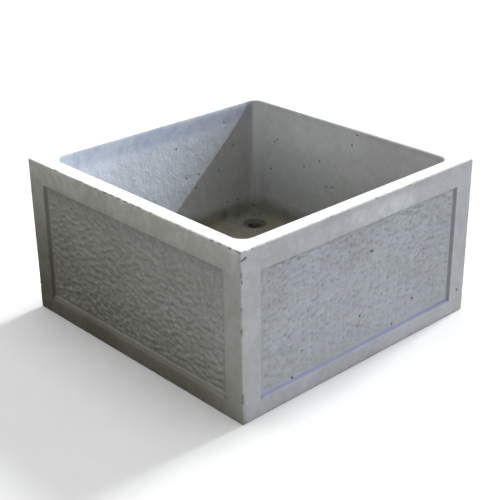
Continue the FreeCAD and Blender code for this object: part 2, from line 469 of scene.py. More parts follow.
def holes_across_y(sizes):
    """Air holes in the walls that face along Y."""
    panel = HALF_SIDE - sizes.panel_depth
    places = [(x, -HALF_SIDE, z) for x, z in FRONT_NICKS] + [(x, -panel, z) for x, z in FRONT_HOLES]
    return places + [(x, inner_face(z, sizes), z) for x, z in BACK_INSIDE_HOLES]


def holes_across_x(sizes):
    """Air holes in the walls that face along X."""
    panel = HALF_SIDE - sizes.panel_depth
    places = [(-panel, y, z) for y, z in LEFT_HOLES]
    return places + [(inner_face(z, sizes), y, z) for y, z in RIGHT_INSIDE_HOLES]


def pitted(points, sizes):
    """How near each point is to an air hole."""
    near = np.zeros(len(points))
    for place in holes_across_y(sizes) + holes_across_x(sizes):
        near = np.maximum(near, np.exp(-((np.linalg.norm(points - place, axis=1) / HOLE_RADIUS) ** 2)))
    return near


def arris_wear(points):
    """Nearness of each point of the outer skin to an arris."""
    near, far = np.sort(HALF_SIDE - np.abs(points[:, :2]), axis=1).T
    up = points[:, 2]
    nearest = np.min([np.hypot(near, other) for other in (far, HEIGHT - up, up)], axis=0)
    return np.exp(-((nearest / EDGE_REACH) ** 2))


def outer_skin(work, sizes, grid):
    """The four outer faces with their sunk panels, and the rounds above and below. Returns the end rings."""
    columns = outer_columns(sizes, grid)
    heights = outer_rows(sizes, grid / BLOW_SQUASH)
    turn = np.linspace(0, math.pi / 2, ARRIS_STEPS + 1)[1:]
    inset = sizes.arris_round * (1 - np.cos(turn))
    rise = sizes.arris_round * np.sin(turn)
    foot = [(sizes.arris_round - up, back) for up, back in zip(rise[::-1], inset[::-1])]
    wall = [(z, 0.0) for z in heights]
    top = [(HEIGHT - sizes.arris_round + up, back) for up, back in zip(rise, inset)]
    rings = [lift(ring(columns, HALF_SIDE - back, ARRIS_STEPS), z) for z, back in foot + wall + top]
    per_ring = len(rings[0])
    points = np.vstack(rings)
    quarter = per_ring // 4
    on_face = np.tile(np.arange(quarter) < len(columns), 4 * len(rings))
    along = np.tile(np.pad(columns, (0, quarter - len(columns))), 4 * len(rings))
    depth, marks = sunk(along, points[:, 2], sizes)
    depth = np.where(on_face, depth, 0.0)
    marks = {name: np.where(on_face, mark, 0.0) for name, mark in marks.items()}
    face = np.tile(np.repeat(np.arange(4), quarter), len(rings))
    inwards = np.array([(0, 1, 0), (-1, 0, 0), (0, -1, 0), (1, 0, 0)])[face]
    marks["along"] = along + 2 * HALF_SIDE * face
    marks["arris"] = arris_wear(points)
    marks["struck"] = struck(points)
    points = points + inwards * depth[:, None]
    marks["pitted"] = pitted(points, sizes)
    work.add(points, ring_faces(len(rings), per_ring), open_face=1.0, **marks)
    return rings[0], rings[-1]


def inner_skin(work, sizes):
    """The inside from the rim's inner edge down to the foot of the cove. Returns the end rings."""
    mouth = HALF_SIDE - sizes.rim_wall
    turn = np.linspace(math.pi / 2, 0, ARRIS_STEPS + 1)
    rim = sizes.rim_round
    profile = [(mouth + rim * (1 - math.cos(a)), HEIGHT - rim * (1 - math.sin(a))) for a in turn]
    cove_top = FLOOR_TOP + sizes.floor_round
    stops = [(HEIGHT - rim, INNER_STEP), (HEIGHT - sizes.lip_depth, INNER_STEP), (cove_top, None)]
    profile += [(inner_face(z, sizes), z) for z in stretches(stops)[1:]]
    foot = profile[-1][0]
    for a in np.linspace(0, math.pi / 2, COVE_STEPS + 1)[1:]:
        half_width = foot - sizes.floor_round * (1 - math.cos(a))
        profile.append((half_width, cove_top - sizes.floor_round * math.sin(a)))
    shares = np.linspace(-1, 1, INNER_COLUMNS)
    rings = []
    for half_width, z in profile:
        corner = sizes.inner_corner_round + half_width - max(foot, min(half_width, mouth))
        rings.append(lift(ring(shares * (half_width - corner), half_width, INNER_CORNER_STEPS), z))
    points = np.vstack(rings)
    below = HEIGHT - points[:, 2]
    marks = {
        "inside": smooth_step(below, 0.0, 0.02),
        "trowelled": smooth_step(below, 0.9 * sizes.lip_depth, 1.3 * sizes.lip_depth),
        "rim": 1 - smooth_step(below, 0.0, sizes.rim_round),
        "pitted": pitted(points, sizes),
    }
    work.add(points, ring_faces(len(rings), len(rings[0])), **marks)
    return rings[0], rings[-1]


def rim_face(work, outer, inner):
    """The flat top of the walls."""
    outer = without_repeats(outer[:, :2])
    inner = inner[:, :2]
    wide, narrow = outer[:, 0].max(), inner[:, 0].max()
    spare = []
    for share in (0.12, 0.36, 0.64, 0.88):
        half_width = wide + (narrow - wide) * share
        line = np.linspace(-half_width, half_width, RIM_COLUMNS)
        spare.append(ring(line, half_width + 1e-6, 1))
    flat, triangles = flat_fill([outer, inner], np.vstack(spare))
    points = lift(flat, HEIGHT)
    work.add(points, triangles, arris=arris_wear(points), struck=struck(points), rim=1.0)


def drain_rings(clear):
    """Ring of points round each drain, clear of its sleeve."""
    turn = np.linspace(0, 2 * math.pi, DRAIN_POINTS, endpoint=False)
    rings = []
    for name in SLEEVES:
        low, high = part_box(name)
        radius = (high.x - low.x) / 2 + clear
        centre = (low + high) / 2
        rings.append(np.column_stack([centre.x + radius * np.cos(turn), centre.y + radius * np.sin(turn)]))
    return rings


def block_places():
    """Centres of the cover blocks, from the groups of points in their node."""
    found = {}
    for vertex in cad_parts["cover_blocks"].data.vertices:
        place = tuple(round(part / BLOCK_SPACING) for part in vertex.co.xy)
        found.setdefault(place, []).append(vertex.co.xy)
    return [sum(group, Vector((0, 0))) / len(group) for group in found.values()]


def block_square(centre, width):
    """Square outline about a cover block's centre."""
    half = width / 2
    corners = ((-1, -1), (1, -1), (1, 1), (-1, 1))
    return np.array([(centre.x + half * x, centre.y + half * y) for x, y in corners])


def floor_and_underside(work, sizes, floor_ring, foot_ring):
    """The floor, the drain holes, and the underside with its pockets for the cover blocks."""
    drains = drain_rings(sizes.seat_gap)
    floor_loops = [floor_ring[:, :2], *drains]
    spare = [grid_between(floor_loops, 0.012, 0.007), *drain_rings(0.0015)]
    flat, triangles = flat_fill(floor_loops, np.vstack(spare))
    from_drain = np.min([np.linalg.norm(flat - hole.mean(axis=0), axis=1) for hole in drains], axis=0)
    flush = np.linalg.norm(drains[0][0] - drains[0].mean(axis=0)) + 0.003
    trowelled = smooth_step(from_drain, flush, 2 * flush)
    work.add(lift(flat, FLOOR_TOP), triangles, inside=1.0, trowelled=trowelled)
    for hole in drains:
        work.add(np.vstack([lift(hole, FLOOR_TOP), lift(hole, 0.0)]), ring_faces(2, len(hole)), inside=1.0)
    gap = 2 * sizes.seat_gap
    pockets = [block_square(centre, sizes.block_base + gap) for centre in block_places()]
    under_loops = [without_repeats(foot_ring[:, :2]), *drains, *pockets]
    flat, triangles = flat_fill(under_loops, grid_between(under_loops, 0.05, 0.015))
    work.add(lift(flat, 0.0), triangles)
    for centre, pocket in zip(block_places(), pockets):
        head = block_square(centre, sizes.block_head + gap)
        walls = np.vstack([lift(pocket, 0.0), lift(head, BLOCK_TOP + sizes.seat_gap)])
        work.add(walls, ring_faces(2, len(pocket)) + [[4, 5, 6, 7]])


def casting_mesh(sizes, grid):
    """The concrete before its faces are hammered, trowelled and chipped."""
    work = Patchwork()
    foot_ring, top_ring = outer_skin(work, sizes, grid)
    rim_ring, floor_ring = inner_skin(work, sizes)
    rim_face(work, top_ring, rim_ring)
    floor_and_underside(work, sizes, floor_ring, foot_ring)
    return work.mesh("planter_casting_shape")


# Node trees


def node(tree, kind, inputs=None, **settings):
    """A node with its settings, and its inputs set or linked by name or number."""
    made = tree.nodes.new(kind)
    for name, value in settings.items():
        setattr(made, name, value)
    for key, value in (inputs or {}).items():
        if isinstance(value, bpy.types.NodeSocket):
            tree.links.new(value, made.inputs[key])
        else:
            made.inputs[key].default_value = value
    return made


def maths(tree, operation, *values):
    """Result of a sum on values."""
    return node(tree, "ShaderNodeMath", dict(enumerate(values)), operation=operation).outputs[0]


def product(tree, *values):
    """Several values multiplied together."""
    result = values[0]
    for value in values[1:]:
        result = maths(tree, "MULTIPLY", result, value)
    return result


def vector_maths(tree, operation, first, second):
    """A node that works on two vectors."""
    return node(tree, "ShaderNodeVectorMath", {0: first, 1: second}, operation=operation)


def title(name):
    """A property's name as a socket shows it."""
    return name.replace("_", " ").title()


def opaque(colour):
    """A property's colour as a socket takes it."""
    return (*colour, 1.0)


def ramp(tree, value, low, high, to_low=0.0, to_high=1.0):
    """Smooth climb of a value between two ends."""
    inputs = {"Value": value, "From Min": low, "From Max": high, "To Min": to_low, "To Max": to_high}
    return node(tree, "ShaderNodeMapRange", inputs, interpolation_type="SMOOTHSTEP").outputs[0]


def mixed(tree, share, under, over, blend="MIX"):
    """One colour laid over another."""
    made = node(tree, "ShaderNodeMix", {0: share, 6: under, 7: over}, data_type="RGBA", blend_type=blend)
    return made.outputs[2]


def noise(tree, vector, scale, detail=3.0, roughness=0.55, distortion=0.0, **inputs):
    """Value of a noise, about 0.5 on average."""
    settings = {"Vector": vector, "Scale": scale, "Detail": detail, "Roughness": roughness}
    settings |= {"Distortion": distortion, **inputs}
    dimensions = "4D" if "W" in inputs else "3D"
    return node(tree, "ShaderNodeTexNoise", settings, noise_dimensions=dimensions).outputs["Fac"]


def socket(tree, name, kind, side, default=None):
    """A named socket on a node tree's outside."""
    made = tree.interface.new_socket(name, in_out=side, socket_type=f"NodeSocket{kind}")
    if default is not None:
        made.default_value = default
    return made


def named_mark(tree, name):
    """A mark that the mesh carries, in geometry nodes."""
    made = node(tree, "GeometryNodeInputNamedAttribute", {"Name": name}, data_type="FLOAT")
    return made.outputs["Attribute"]


def blow_cells(tree, along, up, spacing):
    """Cells of the hammer's blows on a face: the distance from each blow's middle, and a chance colour."""
    across = maths(tree, "DIVIDE", along, spacing)
    above = maths(tree, "DIVIDE", maths(tree, "MULTIPLY", up, BLOW_SQUASH), spacing)
    on_face = node(tree, "ShaderNodeCombineXYZ", {"X": across, "Y": above}).outputs[0]
    inputs = {"Vector": on_face, "Scale": 1.0, "Randomness": 0.9}
    return node(tree, "ShaderNodeTexVoronoi", inputs, voronoi_dimensions="2D", feature="F1").outputs


SURFACE_SIZES = (
    "hammer_spacing", "hammer_depth", "skin_wave", "trowel_wave",
    "chip_length", "chip_depth", "hole_depth", "seed",
)


def blows_tree():
    """Geometry nodes that hammer the panels, wave the smooth faces and chip the arrises of a casting."""
    tree = bpy.data.node_groups.new("hammered_casting", "GeometryNodeTree")
    socket(tree, "Geometry", "Geometry", "INPUT")
    for name in SURFACE_SIZES:
        socket(tree, title(name), "Float", "INPUT")
    socket(tree, "Material", "Material", "INPUT")
    socket(tree, "Geometry", "Geometry", "OUTPUT")
    given = node(tree, "NodeGroupInput").outputs
    place = node(tree, "GeometryNodeInputPosition").outputs[0]
    seed = given["Seed"]

    up = node(tree, "ShaderNodeSeparateXYZ", {0: place}).outputs["Z"]
    along = maths(tree, "ADD", named_mark(tree, "along"), seed)
    cells = blow_cells(tree, along, up, given["Hammer Spacing"])
    reach = maths(tree, "DIVIDE", cells["Distance"], 0.56)
    bowl = maths(tree, "MAXIMUM", maths(tree, "SUBTRACT", 1.0, maths(tree, "POWER", reach, 2.0)), 0.0)
    force = node(tree, "FunctionNodeSeparateColor", {0: cells["Color"]}).outputs[0]
    bowl = product(tree, bowl, maths(tree, "MULTIPLY_ADD", force, 0.65, 0.35))
    grit = noise(tree, place, 130.0, W=seed)
    relief = maths(tree, "ADD", bowl, maths(tree, "MULTIPLY_ADD", grit, 0.9, -0.45))
    relief = maths(tree, "SUBTRACT", relief, 0.35)
    blows = product(tree, relief, named_mark(tree, "hammered"), given["Hammer Depth"])

    wave = noise(tree, place, 9.0, W=seed)
    wave = product(tree, wave, named_mark(tree, "open_face"), given["Skin Wave"])
    swirl = maths(tree, "SUBTRACT", noise(tree, place, 26.0, detail=4.0, distortion=0.8, W=seed), 0.5)
    trowelled = product(tree, swirl, named_mark(tree, "trowelled"), 2.0, given["Trowel Wave"])

    per_chip = maths(tree, "DIVIDE", 1.0, given["Chip Length"])
    loose = ramp(tree, noise(tree, place, per_chip, detail=4.0, W=seed), 0.57, 0.72)
    broken = ramp(tree, noise(tree, place, 220.0, detail=2.0, W=seed), 0.25, 0.6)
    hit = product(tree, named_mark(tree, "struck"), broken)
    chip = maths(tree, "MAXIMUM", product(tree, loose, named_mark(tree, "arris")), hit)
    chipped = product(tree, chip, given["Chip Depth"])
    holes = product(tree, named_mark(tree, "pitted"), given["Hole Depth"])

    total = blows
    for part in (wave, trowelled, chipped, holes):
        total = maths(tree, "ADD", total, part)
    outwards = node(tree, "GeometryNodeInputNormal").outputs[0]
    inwards = {0: outwards, "Scale": product(tree, total, -1.0)}
    push = node(tree, "ShaderNodeVectorMath", inwards, operation="SCALE").outputs[0]

    stored = {"Geometry": given["Geometry"], "Name": "chip", "Value": chip}
    kept = node(tree, "GeometryNodeStoreNamedAttribute", stored, data_type="FLOAT", domain="POINT")
    shape = kept.outputs[0]
    for kind, inputs in (
        ("GeometryNodeSetPosition", {"Offset": push}),
        ("GeometryNodeSetShadeSmooth", {"Shade Smooth": True}),
        ("GeometryNodeRealizeInstances", {}),
        ("GeometryNodeSetMaterial", {"Material": given["Material"]}),
    ):
        shape = node(tree, kind, {"Geometry": shape, **inputs}).outputs[0]
    node(tree, "NodeGroupOutput", {"Geometry": shape})
    return tree


def grown(piece, tree, values):
    """Runs a tree of geometry nodes on a piece and keeps the result as its plain mesh."""
    modifier = piece.modifiers.new(tree.name, "NODES")
    modifier.node_group = tree
    for item in tree.interface.items_tree:
        if item.item_type == "SOCKET" and item.in_out == "INPUT" and item.name in values:
            modifier[item.identifier] = values[item.name]
    graph = bpy.context.evaluated_depsgraph_get()
    result = piece.evaluated_get(graph)
    mesh = bpy.data.meshes.new_from_object(result, preserve_all_data_layers=True, depsgraph=graph)
    piece.modifiers.remove(modifier)
    old = piece.data
    piece.data = mesh
    bpy.data.meshes.remove(old)
    mesh.name = piece.name


# Shader groups


def shader_group(name, values, outputs):
    """An empty shader group that takes coordinates and values; returns the tree and its inputs."""
    tree = bpy.data.node_groups.new(name, "ShaderNodeTree")
    socket(tree, "Vector", "Vector", "INPUT")
    for value, default in values.items():
        socket(tree, value, "Float", "INPUT", default)
    for result in outputs:
        socket(tree, result, "Float", "OUTPUT")
    return tree, node(tree, "NodeGroupInput").outputs


def mottle_group():
    """Broad and small patches of light and dark."""
    tree, given = shader_group("mottle", {"Scale": 8.0}, ["Patches"])
    broad = noise(tree, given["Vector"], given["Scale"], detail=5.0, roughness=0.6)
    fine_scale = product(tree, given["Scale"], 7.0)
    small = noise(tree, given["Vector"], fine_scale, detail=4.0, roughness=0.65)
    both = maths(tree, "MULTIPLY_ADD", small, 0.45, product(tree, broad, 0.55))
    node(tree, "NodeGroupOutput", {"Patches": ramp(tree, both, 0.36, 0.64)})
    return tree


def grain_group():
    """Sand grains in a rough face."""
    tree, given = shader_group("grain", {"Scale": 700.0}, ["Grains", "Height"])
    sand = noise(tree, given["Vector"], given["Scale"], detail=2.0, roughness=0.7)
    coarse = noise(tree, given["Vector"], product(tree, given["Scale"], 0.3), detail=2.0)
    height = maths(tree, "MULTIPLY_ADD", coarse, 0.6, product(tree, sand, 0.4))
    node(tree, "NodeGroupOutput", {"Grains": ramp(tree, sand, 0.3, 0.7), "Height": height})
    return tree


def air_hole_group():
    """Round holes that trapped air leaves in a cast face."""
    tree, given = shader_group("air_holes", {"Scale": 30.0, "Share": 0.2, "Size": 0.1}, ["Holes"])
    inputs = {"Vector": given["Vector"], "Scale": given["Scale"]}
    cells = node(tree, "ShaderNodeTexVoronoi", inputs).outputs
    chance = node(tree, "ShaderNodeSeparateColor", {0: cells["Color"]}).outputs
    there = maths(tree, "LESS_THAN", chance[0], given["Share"])
    size = product(tree, given["Size"], maths(tree, "MULTIPLY_ADD", chance[1], 0.7, 0.5))
    hole = ramp(tree, maths(tree, "DIVIDE", cells["Distance"], size), 0.6, 1.0, 1.0, 0.0)
    node(tree, "NodeGroupOutput", {"Holes": product(tree, hole, there)})
    return tree


def grime_group():
    """Dirt that gathers under a mask and breaks up along its edge."""
    tree, given = shader_group("grime", {"Mask": 0.0, "Scale": 90.0, "Amount": 1.0}, ["Dirt"])
    patches = noise(tree, given["Vector"], given["Scale"], detail=5.0, roughness=0.65)
    caught = product(tree, given["Mask"], maths(tree, "MULTIPLY_ADD", patches, 1.4, 0.3))
    dirt = product(tree, ramp(tree, caught, 0.15, 0.75), given["Amount"])
    node(tree, "NodeGroupOutput", {"Dirt": dirt})
    return tree


GROUP_MAKERS = {
    "mottle": mottle_group,
    "grain": grain_group,
    "air_holes": air_hole_group,
    "grime": grime_group,
}


# Finishes


class Finish:
    """A material in the making: a plain shader whose colour is laid coat by coat."""

    def __init__(self, name, ground, specular=0.5):
        self.material = bpy.data.materials.new(name)
        self.material.use_nodes = True
        self.tree = self.material.node_tree
        self.tree.nodes.clear()
        self.shader = node(self.tree, "ShaderNodeBsdfPrincipled", {"Specular IOR Level": specular})
        node(self.tree, "ShaderNodeOutputMaterial", {"Surface": self.shader.outputs[0]})
        self.place = node(self.tree, "ShaderNodeTexCoord").outputs["Object"]
        self.colour = opaque(ground)

    def lay(self, mask, tone, blend="MIX"):
        """Lays one more colour under a mask."""
        self.colour = mixed(self.tree, mask, self.colour, opaque(tone), blend)

    def times(self, *values):
        """Product of masks and shares."""
        return product(self.tree, *values)

    def most(self, *values):
        """The greatest of several masks."""
        greatest = values[0]
        for value in values[1:]:
            greatest = maths(self.tree, "MAXIMUM", greatest, value)
        return greatest

    def ramp(self, value, low, high, to_low=0.0, to_high=1.0):
        """Smooth climb of a value between two ends."""
        return ramp(self.tree, value, low, high, to_low, to_high)

    def follow(self, share, at_none, at_full):
        """A value that goes with a share from 0 to 1."""
        return ramp(self.tree, share, 0.0, 1.0, at_none, at_full)

    def noise(self, scale, **settings):
        """Value of a noise over the piece; three scales draw it out along an axis."""
        vector = self.place
        if isinstance(scale, tuple):
            vector = node(self.tree, "ShaderNodeMapping", {"Vector": vector, "Scale": scale}).outputs[0]
            scale = 1.0
        return noise(self.tree, vector, scale, **settings)

    def mark(self, name):
        """A mark that the mesh carries."""
        return node(self.tree, "ShaderNodeAttribute", attribute_name=name).outputs["Fac"]

    def effect(self, name, **inputs):
        """Results of a shared shader group with values of its own."""
        group = bpy.data.node_groups.get(name) or GROUP_MAKERS[name]()
        values = {"Vector": self.place, **{title(key): value for key, value in inputs.items()}}
        return node(self.tree, "ShaderNodeGroup", values, node_tree=group).outputs

    def dirt(self, mask, scale, amount):
        """Grime under a mask."""
        return self.effect("grime", mask=mask, scale=scale, amount=amount)["Dirt"]

    def spots(self, centres, core, radius, flattening=(1.0, 1.0, 1.0)):
        """Mask of round spots that fade from a core out to a radius; flattened, relief doesn't hide them."""
        flat = vector_maths(self.tree, "MULTIPLY", self.place, flattening).outputs[0]
        masks = []
        for centre in centres:
            spot = Vector(centre) * Vector(flattening)
            gap = vector_maths(self.tree, "DISTANCE", flat, spot).outputs["Value"]
            masks.append(self.ramp(gap, core, radius, 1.0, 0.0))
        return self.most(*masks)

    def finish(self, height, bump_distance, **sockets):
        """Links the colour, other results and a height to the shader; returns the material."""
        for name, value in {"base_color": self.colour, **sockets}.items():
            self.tree.links.new(value, self.shader.inputs[title(name)])
        inputs = {"Height": height, "Distance": bump_distance, "Strength": 1.0}
        bump = node(self.tree, "ShaderNodeBump", inputs)
        self.tree.links.new(bump.outputs[0], self.shader.inputs["Normal"])
        return self.material


class ConcreteFinish(Finish):
    """Light precast concrete: mottled cement, sand, air holes, dirt and painted shade in chips, holes and
    creases, stains and painted shade inside, painted shade on the left face and sills, and a painted
    highlight on the rim and top rails.
    """

    def __init__(self, tones):
        super().__init__("hammered_concrete", tones.cement_dark, specular=0.25)
        self.tones = tones
        self.x, self.y, self.z = node(self.tree, "ShaderNodeSeparateXYZ", {0: self.place}).outputs
        self.inside = self.mark("inside")
        self.hammered = self.mark("hammered")
        self.on_left = self.ramp(self.x, -HALF_SIDE + 0.014, -HALF_SIDE + 0.002)
        self.on_front = self.ramp(self.y, -HALF_SIDE + 0.014, -HALF_SIDE + 0.002)
        self.patches = self.effect("mottle", scale=7.0)["Patches"]
        self.grains = self.effect("grain", scale=650.0)
        self.grit = self.noise(210.0, detail=3.0, roughness=0.6)

    def cement(self, sizes):
        """Bare cement, pale on the rim and in a band under it, partly weather and partly painted highlight,
        with a painted highlight along the front top rail.
        """
        self.lay(self.patches, self.tones.cement)
        self.lay(self.inside, self.tones.cement_inside)
        # Pale rim: partly weather bleaching, partly painted highlight.
        self.lay(self.mark("rim"), self.tones.cement_worn_and_lit)
        # Paler band under the rim on all faces but the front: partly rain wash, partly painted light on the
        # top rails.
        washed_and_painted_light = self.times(
            maths(self.tree, "SUBTRACT", self.ramp(self.z, HEIGHT - 0.09, HEIGHT), self.inside),
            self.follow(self.patches, 0.3, 0.75),
            maths(self.tree, "SUBTRACT", 1.0, self.on_front),
        )
        self.lay(washed_and_painted_light, self.tones.cement_worn_and_lit)
        # Painted highlight along the front top rail, where grazing light catches a slight bulge.
        rail_foot = HEIGHT - sizes.top_rail
        painted_highlight_streak = self.times(
            self.ramp(self.x, -0.18, 0.0),
            self.ramp(self.x, 0.12, 0.27, 1.0, 0.0),
            self.ramp(self.z, rail_foot - 0.004, rail_foot + 0.008),
            self.ramp(self.z, HEIGHT - 0.028, HEIGHT - 0.008, 1.0, 0.0),
            self.on_front,
            self.follow(self.patches, 0.2, 0.6),
        )
        self.lay(painted_highlight_streak, self.tones.cement_worn_and_lit)

    def panels(self, finish):
        """Streaks, pits darkened partly by dirt and partly by painted shade, specks and cool grains of the
        panels, and sand all over. Returns the pits.
        """
        streaks = self.ramp(self.noise((60.0, 60.0, 9.0), detail=4.0), 0.5, 0.75)
        self.lay(self.times(streaks, self.hammered, 0.18), self.tones.cement_dark, "MULTIPLY")
        along = maths(self.tree, "ADD", self.mark("along"), float(finish.seed))
        cells = blow_cells(self.tree, along, self.z, finish.hammer_spacing)
        force = node(self.tree, "ShaderNodeSeparateColor", {0: cells["Color"]}).outputs[0]
        pits = self.times(
            self.ramp(cells["Distance"], 0.06, 0.36, 1.0, 0.0),
            self.hammered,
            self.follow(force, 0.15, 1.0),
            self.ramp(self.grit, 0.35, 0.6),
        )
        # Darker pits: partly dirt, partly painted shade in the blows' hollows.
        self.lay(self.times(pits, 0.16), self.tones.algae_and_shade)
        specks = self.ramp(self.noise((230.0, 230.0, 110.0), detail=2.0), 0.54, 0.70, 0.0, 0.22)
        self.lay(self.times(specks, self.hammered), self.tones.algae_and_shade)
        cool = self.ramp(self.noise(62.0, detail=2.0), 0.40, 0.62)
        cool = self.times(cool, self.hammered, self.follow(self.on_left, 0.40, 0.08))
        self.lay(cool, self.tones.cement_cool)
        self.lay(self.times(self.grains["Grains"], 0.10), self.tones.cement_dark)
        return pits

    def outer_films_and_shade(self):
        """Painted shade on the left face, partly green growth and splash dirt, darker towards its far end and
        its foot; a painted warm tint over that face; painted bluish shade on the other sills and painted
        shade on the left sill.
        """
        # Painted shade, partly green growth: the left face darker towards its far end and its foot.
        painted_left_shade = self.times(
            self.on_left,
            self.ramp(self.y, -0.8 * HALF_SIDE, 0.7 * HALF_SIDE),
            self.ramp(self.z, 0.0, HEIGHT, 1.0, 0.0),
            self.follow(self.patches, 0.65, 0.40),
        )
        self.lay(painted_left_shade, self.tones.algae_and_shade)
        # Painted shade at the foot of the left face, partly splash dirt.
        splash_top = self.ramp(self.y, -0.35, 0.25, 0.10, 0.34)
        splash_and_painted_shade = self.times(
            self.ramp(self.z, 0.0, splash_top, 0.6, 0.0),
            self.on_left,
            self.ramp(self.y, -HALF_SIDE, -0.6 * HALF_SIDE, 0.4, 1.0),
        )
        self.lay(splash_and_painted_shade, self.tones.algae_and_shade)
        # Painted shade: a warm, darker tint over the whole left face.
        left_start = 5 * HALF_SIDE  # place along the four faces where the left one starts
        left_face = self.ramp(self.mark("along"), left_start - 0.002, left_start + 0.002)
        self.lay(left_face, self.tones.painted_shade_tint, "MULTIPLY")
        sill = self.mark("sill")
        # Painted shade on the left face's sill.
        self.lay(self.times(sill, self.on_left, 0.5), self.tones.algae_and_shade)
        # Painted bluish shade on the sills of all faces but the left.
        self.lay(self.times(sill, self.follow(self.on_left, 0.85, 0.0)), self.tones.painted_sky_shade)

    def inner_walls(self):
        """Damp blotches on the walls inside, painted shade partly of damp that darkens them towards the
        floor, painted shade on the back wall towards its corner, and a painted bluish shade band under the
        rim.
        """
        blotches = self.times(self.inside, self.follow(self.patches, 0.14, 0.0))
        self.lay(blotches, self.tones.wall_damp_and_shade)
        off_x, off_y = (maths(self.tree, "ABSOLUTE", axis) for axis in (self.x, self.y))
        across_y = self.times(
            self.ramp(maths(self.tree, "SUBTRACT", off_y, off_x), 0.0, 0.015),
            self.ramp(self.z, FLOOR_TOP, FLOOR_TOP + 0.04),
            self.inside,
        )
        # Painted shade, partly damp: the walls inside darker towards the floor.
        low = self.ramp(self.z, 0.10, HEIGHT, 0.62, 0.0)
        low = self.times(low, self.inside, self.follow(across_y, 1.0, 0.35))
        self.lay(low, self.tones.wall_damp_and_shade)
        # Painted shade: the back wall darker towards its corner with the right wall.
        painted_corner_shade = self.times(self.ramp(self.x, -0.25, 0.33, 0.0, 0.45), across_y)
        self.lay(painted_corner_shade, self.tones.wall_damp_and_shade)
        # Painted bluish shade in a band under the rim on the back wall.
        painted_shade_band = self.ramp(self.z, HEIGHT - 0.07, HEIGHT - 0.03)
        painted_shade_band = self.times(painted_shade_band, across_y, self.follow(self.patches, 0.45, 0.15))
        self.lay(painted_shade_band, self.tones.painted_sky_shade)

    def inner_floor(self):
        """Soil, moss and muck on the floor and at the foot of the walls, and sludge round the drains."""
        wet = self.times(self.ramp(self.z, FLOOR_TOP, FLOOR_TOP + 0.10, 1.0, 0.0), self.inside)
        self.lay(self.dirt(wet, 18.0, 0.7), self.tones.soil_stain)
        self.lay(self.dirt(self.times(wet, self.patches), 42.0, 0.45), self.tones.moss)
        caked = self.times(self.ramp(self.z, FLOOR_TOP, FLOOR_TOP + 0.05, 0.42, 0.0), self.inside)
        stains = self.times(self.spots(FOOT_STAINS, 0.0, STAIN_RADIUS), 0.6)
        muck = self.dirt(self.most(caked, stains), 60.0, 0.6)
        around = self.spots(sludge_places(), 0.6 * SLUDGE_REACH, SLUDGE_REACH)
        sludge = self.dirt(self.times(around, self.inside), 55.0, 0.92)
        self.lay(self.most(muck, sludge), self.tones.grime)

    def small_dirt_and_shade(self, sizes):
        """Air holes, and dirt and painted shade in the holes, the creases and the chips. Returns the holes.
        """
        small = self.effect("air_holes", scale=34.0, share=0.22, size=0.06)["Holes"]
        holes = self.most(
            self.effect("air_holes", scale=26.0, share=0.10, size=0.05)["Holes"],
            self.spots(holes_across_y(sizes), HOLE_CORE, HOLE_RADIUS, (1.0, 0.2, 1.0)),
            self.spots(holes_across_x(sizes), HOLE_CORE, HOLE_RADIUS, (0.2, 1.0, 1.0)),
            self.spots(COVE_HOLES, HOLE_CORE, HOLE_RADIUS),
            self.times(small, self.inside),
        )
        # Dirt and painted shade in a panel's edges.
        self.lay(self.dirt(self.mark("crease"), 70.0, 0.5), self.tones.crease_dirt_and_shade)
        # Dirt and painted shade in the chips and the air holes.
        chips = self.dirt(self.mark("chip"), 140.0, 0.9)
        self.lay(self.times(self.most(chips, holes), 0.85), self.tones.grime)
        return holes

    def relief(self, pits, holes):
        """Height of the sand, the trowel's strokes and the grit, less the pits and holes."""
        strokes = self.noise((60.0, 60.0, 45.0), detail=4.0, roughness=0.6, distortion=0.4)
        trowel = self.times(strokes, self.mark("trowelled"), self.patches, 0.5)
        height = maths(self.tree, "MULTIPLY_ADD", self.grains["Height"], 0.25, trowel)
        grit = self.times(self.grit, self.hammered)
        height = maths(self.tree, "MULTIPLY_ADD", grit, 0.8, height)
        height = maths(self.tree, "SUBTRACT", height, self.times(pits, 0.4))
        return maths(self.tree, "SUBTRACT", height, holes)


def sludge_places():
    """Middle of the sludge at each drain, a little further towards its corner than the drain."""
    places = []
    for name in SLEEVES:
        low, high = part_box(name)
        centre = (low + high) / 2 * 1.03
        places.append((centre.x, centre.y, FLOOR_TOP))
    return places


def concrete_material(colours, sizes, finish):
    """Finish of the casting."""
    coat = ConcreteFinish(colours)
    coat.cement(sizes)
    pits = coat.panels(finish)
    coat.outer_films_and_shade()
    coat.inner_walls()
    coat.inner_floor()
    holes = coat.small_dirt_and_shade(sizes)
    rough = coat.follow(coat.patches, 0.94, 0.82)
    return coat.finish(coat.relief(pits, holes), 0.0022, roughness=rough)


def mortar_material(colours):
    """Sandy mortar of the cover blocks."""
    dark = tuple(0.72 * part for part in colours.mortar)
    coat = Finish("block_mortar", dark, specular=0.2)
    patches = coat.effect("mottle", scale=40.0)["Patches"]
    coat.lay(patches, colours.mortar)
    grains = coat.effect("grain", scale=420.0)
    coat.lay(coat.times(grains["Grains"], 0.25), dark)
    holes = coat.effect("air_holes", scale=120.0, share=0.3, size=0.12)["Holes"]
    # Dirt and painted shade in the mortar's holes.
    coat.lay(holes, colours.grime)
    height = maths(coat.tree, "SUBTRACT", grains["Height"], holes)
    return coat.finish(height, 0.001, roughness=coat.follow(patches, 0.95, 0.85))


